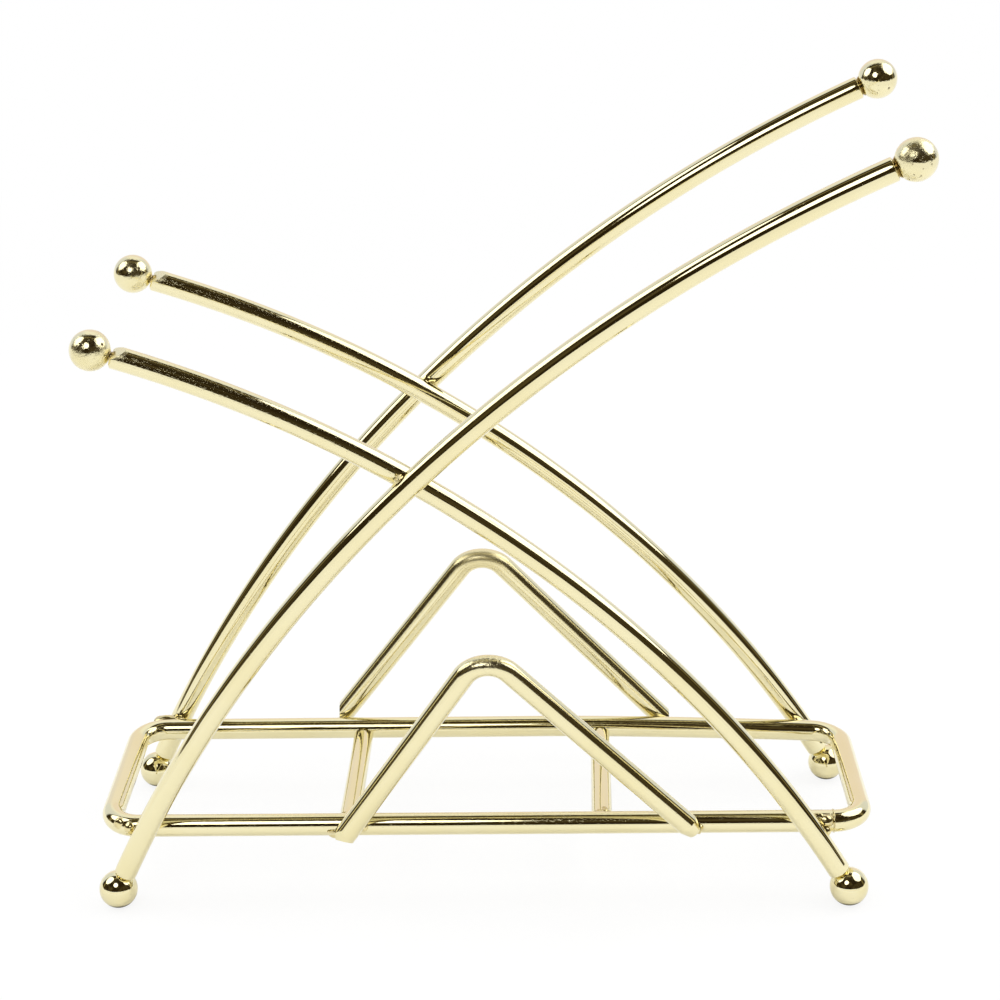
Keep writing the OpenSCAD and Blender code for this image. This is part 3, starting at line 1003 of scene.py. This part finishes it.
FRONT_BAR_SPILLS = [
    ("cross_bar_left", (-0.0008, 0.0010, 0.0019), (0.0010, 0.0005, 0.0004)),
    ("cross_bar_right", (-0.0007, 0.0010, 0.00175), (0.0010, 0.0010, 0.00065)),
    ("cross_bar_right", (0.0006, 0.0014, 0.00195), (0.0012, 0.0014, 0.00055)),
    ("cross_bar_right", (0.0014, 0.0009, 0.0015), (0.0008, 0.0009, 0.0007)),
]
FRONT_CROSS_SHIFT, BACK_CROSS_SHIFT = Vector((-0.0012, 0, -0.0003)), Vector((0.0014, 0, -0.0003))
FRONT_CROSS_SPILL = (-0.00175, -0.0016, 0.0017), (0.0009, 0.0019, 0.0010)
seeds = iter(range(11, 99))


def spill(joint, shift, size):
    """A spill of weld metal beside a joint."""
    return lump(joint + Vector(shift), size, next(seeds), SPILL_ROUGH)


def hand_over_welds(name, parts, finish, node):
    hand_over(join_as(name, parts), finish, "weld", WELD_CREASE, node)


arm_beads = [lump(joint, ARM_BEAD, next(seeds)) for joint in arm_joints]
arm_beads += [spill(arms[node].at_rail(), shift, size) for node, shift, size in ARM_SPILLS]
hand_over_welds("arm_rail_weld_beads", arm_beads, weld_finish, "arm_rail_welds")
leg_beads = [lump(joint, LEG_BEAD, next(seeds)) for joint in leg_joints]
front_left_leg = peaks["front_peak"].at_rail(LEFT)
leg_beads += [spill(front_left_leg, shift, size) for shift, size in FRONT_LEFT_LEG_SPILLS]
hand_over_welds("peak_rail_weld_beads", leg_beads, weld_finish, "peak_rail_welds")
cross_beads = [
    lump(front_cross + FRONT_CROSS_SHIFT, CROSS_BEAD, next(seeds)),
    spill(front_cross, *FRONT_CROSS_SPILL),
    lump(back_cross + BACK_CROSS_SHIFT, CROSS_BEAD, next(seeds))]
hand_over_welds("arm_crossing_weld_beads", cross_beads, bead_finish, "arm_crossing_welds")
collars = [collar(bar, side, next(seeds)) for bar, side in bar_joints]
collars += [spill(bar_joints[bar, FRONT], shift, size) for bar, shift, size in FRONT_BAR_SPILLS]
hand_over_welds("cross_bar_weld_collars", collars, collar_finish, "cross_bar_welds")
tip_necks = []
for arm in arms.values():
    radius = SHORT_NECK_R if arm.filed else LONG_NECK_R
    tip_necks.append(neck("tip_neck", arm.at(arm.end), arm.along(arm.end), arm.tip_gap, radius, next(seeds)))
hand_over_welds("tip_ball_weld_necks", tip_necks, neck_finish, "tip_ball_welds")
foot_necks = [
    neck("foot_neck", arm.at(arm.start), -arm.along(arm.start), FOOT_GAP, FOOT_NECK_R, next(seeds))
    for arm in arms.values()]
hand_over_welds("foot_ball_weld_necks", foot_necks, neck_finish, "foot_ball_welds")
hand_over_welds("loop_seam_ridges", [seam_ridge(next(seeds))], weld_finish, "loop_seam_weld")

# Camera, as fitted to the photo: its place in metres, its turns and its focal length in pixels
CAMERA_PLACE = Vector((0.026475, -0.475308, 0.294253))
PITCH, YAW, ROLL = math.radians(23.5376), math.radians(-2.5979), math.radians(-1.7826)
FOCAL_PIXELS = 2351.5
PICTURE_PIXELS = 1000
SENSOR = 36
CLIP_START = 0.01

forward = Vector((math.sin(YAW) * math.cos(PITCH), math.cos(YAW) * math.cos(PITCH), -math.sin(PITCH)))
level = forward.cross(UP).normalized()
upright = level.cross(forward)
camera_right = level * math.cos(ROLL) + upright * math.sin(ROLL)
camera_up = upright * math.cos(ROLL) - level * math.sin(ROLL)
bpy.ops.object.camera_add()
camera = bpy.context.object
camera.name = "camera"
camera.matrix_world = Matrix.Translation(CAMERA_PLACE) @ Matrix(
    (camera_right, camera_up, -forward)).transposed().to_4x4()
camera.data.sensor_width = SENSOR
camera.data.lens = FOCAL_PIXELS * SENSOR / PICTURE_PIXELS
camera.data.clip_start = CLIP_START
bpy.context.scene.camera = camera


# Studio: two softboxes, a round lamp near the camera, a white floor and backdrop, a dark room in front
LAMPS_AIM = Vector((0, 0, 0.07))


def softbox(name, place, wide, high, radiance):
    """An oval lamp that is as bright as the given radiance, whatever its size."""
    bpy.ops.object.light_add(type="AREA", location=place)
    lamp = bpy.context.object
    lamp.name = name
    lamp.data.shape = "ELLIPSE"
    lamp.data.size = wide
    lamp.data.size_y = high
    lamp.data.energy = radiance * math.pi * wide * high * math.pi / 4
    lamp.rotation_euler = (LAMPS_AIM - Vector(place)).to_track_quat("-Z", "Y").to_euler()


softbox("left_softbox", (-0.66, 0.035, 0.66), 0.56, 0.70, 1.9)
softbox("right_softbox", (0.52, 0.09, 0.60), 0.74, 0.64, 1.9)
softbox("round_lamp", (-0.16, -0.44, 0.55), 0.31, 0.31, 2.4)

# The world: how much it lights the object from above, and the colours that the object mirrors
FILL = 0.88
ROOM_DARK = (0.022, 0.014, 0.005, 1)
ROOM_BROWN = (0.080, 0.061, 0.026, 1)
STRIP_BROWN = (0.230, 0.190, 0.090, 1)
WHITE = (1, 1, 1, 1)
BACKDROP_EDGE = (0.93, 0.84, 0.81, 1)
BACKDROP_SIDE = (0.79, 0.83, 0.93, 1)


def make_world():
    """White to the camera. The object mirrors a white backdrop behind it and a dark room in front."""
    world = bpy.data.worlds.new("studio")
    world.use_nodes = True
    world.node_tree.nodes.clear()
    bpy.context.scene.world = world
    start = Tone(world.node_tree)
    way = start.add("TexCoord", {}, {}, "Generated")
    depth = start.add("SeparateXYZ", {}, {"Vector": way}, "Y")
    height = Tone(start.tree, depth.socket.node.outputs["Z"])
    across = Tone(start.tree, depth.socket.node.outputs["X"])
    beside = start.sum("ABSOLUTE", across, 0).step(0.20, 0.50)
    back = depth.step(0.36, 0.48)
    strip = depth.step(0.00, 0.05) * (1 - depth.step(0.12, 0.18))
    patches = way.noise(2.2, 2.0).step(0.40, 0.75)
    seen = start.add("LightPath", {}, {}, "Is Camera Ray")
    shiny = Tone(start.tree, seen.socket.node.outputs["Is Glossy Ray"])
    through = Tone(start.tree, seen.socket.node.outputs["Is Transmission Ray"])
    room = strip.mix(patches.mix(ROOM_DARK, ROOM_BROWN), STRIP_BROWN)
    mirrored = start.sum("MAXIMUM", shiny, through) * (1 - seen)
    backdrop = depth.step(0.78, 0.90).mix(beside.mix(WHITE, BACKDROP_SIDE), BACKDROP_EDGE)
    shade = mirrored.mix(WHITE, back.mix(room, backdrop))
    level = 1 - (1 - seen) * (1 - mirrored) * (1 - FILL * height.step(0.25, 0.65))
    sky = start.add("Background", {}, {"Color": shade, "Strength": level})
    start.add("OutputWorld", {}, {"Surface": sky})


# How much of the floor's white is its own, straight to the camera and in reflections
FLOOR_SEEN = 0.86
FLOOR_MIRRORED = 0.02

# How bright the floor is in reflections, and how much darker and how far round the foot balls it is painted:
# a painted contact shadow, seen only in reflections
FLOOR_DIM = 0.92
CONTACT_SHADE, CONTACT_INSIDE, CONTACT_OUTSIDE = 0.85, 0.0020, 0.0036

# The floor's size, and where it fades to an even white
FLOOR_SIZE, FADE_FROM, FADE_TO = 8, 0.22, 0.60


def make_floor():
    """A white floor that keeps the object's shadow. Round the foot balls it also has a painted contact
    shadow, seen only in reflections.
    """
    bpy.ops.object.select_all(action="DESELECT")
    bpy.ops.mesh.primitive_plane_add(size=FLOOR_SIZE)
    floor = bpy.context.object
    floor.name = "floor"
    material, start = new_finish("white_floor")
    place = start.add("TexCoord", {}, {}, "Object")
    away = start.add("VectorMath", {"operation": "LENGTH"}, {0: place}, "Value")
    far = away.step(FADE_FROM, FADE_TO)
    rays = start.add("LightPath", {}, {}, "Is Camera Ray")
    shiny = Tone(start.tree, rays.socket.node.outputs["Is Glossy Ray"])
    through = Tone(start.tree, rays.socket.node.outputs["Is Transmission Ray"])
    mirrored = start.sum("MAXIMUM", shiny, through)
    shown = start.sum("MAXIMUM", rays, mirrored)
    own = FLOOR_SEEN * rays + FLOOR_MIRRORED * mirrored * (1 - rays)
    # Painted contact shadow: in reflections the floor is painted darker round each foot ball
    open_floor = 1
    for arm in arms.values():
        under = (arm.foot.x, arm.foot.y, 0)
        off = start.add("VectorMath", {"operation": "DISTANCE"}, {0: place, 1: under}, "Value")
        open_floor = off.step(CONTACT_INSIDE, CONTACT_OUTSIDE) * open_floor
    lit = 1 - mirrored * (1 - FLOOR_DIM * (1 - (1 - open_floor) * CONTACT_SHADE))
    near = start.add("BsdfDiffuse", {}, {"Color": (lit * (1 - own)).mix((0, 0, 0, 1), WHITE)})
    glow = start.add("Emission", {}, {"Color": WHITE, "Strength": own * lit})
    white = start.add("AddShader", {}, {0: near, 1: glow})
    even = start.add("Emission", {}, {"Color": WHITE, "Strength": 1.0})
    mixed = start.add("MixShader", {}, {0: far * shown, 1: white, 2: even})
    start.add("OutputMaterial", {}, {"Surface": mixed})
    floor.data.materials.append(material)


# The white card: its place, width and height
CARD_Y, CARD_WIDE, CARD_HIGH = -0.62, 6, 0.13


def make_card():
    """A low white card behind the camera, which the wires and balls mirror above the floor."""
    bpy.ops.object.select_all(action="DESELECT")
    bpy.ops.mesh.primitive_plane_add(
        size=1, location=(0, CARD_Y, CARD_HIGH / 2), rotation=(math.pi / 2, 0, 0))
    card = bpy.context.object
    card.name = "white_card"
    card.scale = (CARD_WIDE, CARD_HIGH, 1)
    bpy.ops.object.transform_apply(location=True, rotation=True, scale=True)
    material, start = new_finish("white_card")
    glow = start.add("Emission", {}, {"Color": WHITE, "Strength": 1.0})
    start.add("OutputMaterial", {}, {"Surface": glow})
    card.data.materials.append(material)


make_world()
make_floor()
make_card()
bpy.context.scene.view_settings.view_transform = "Standard"
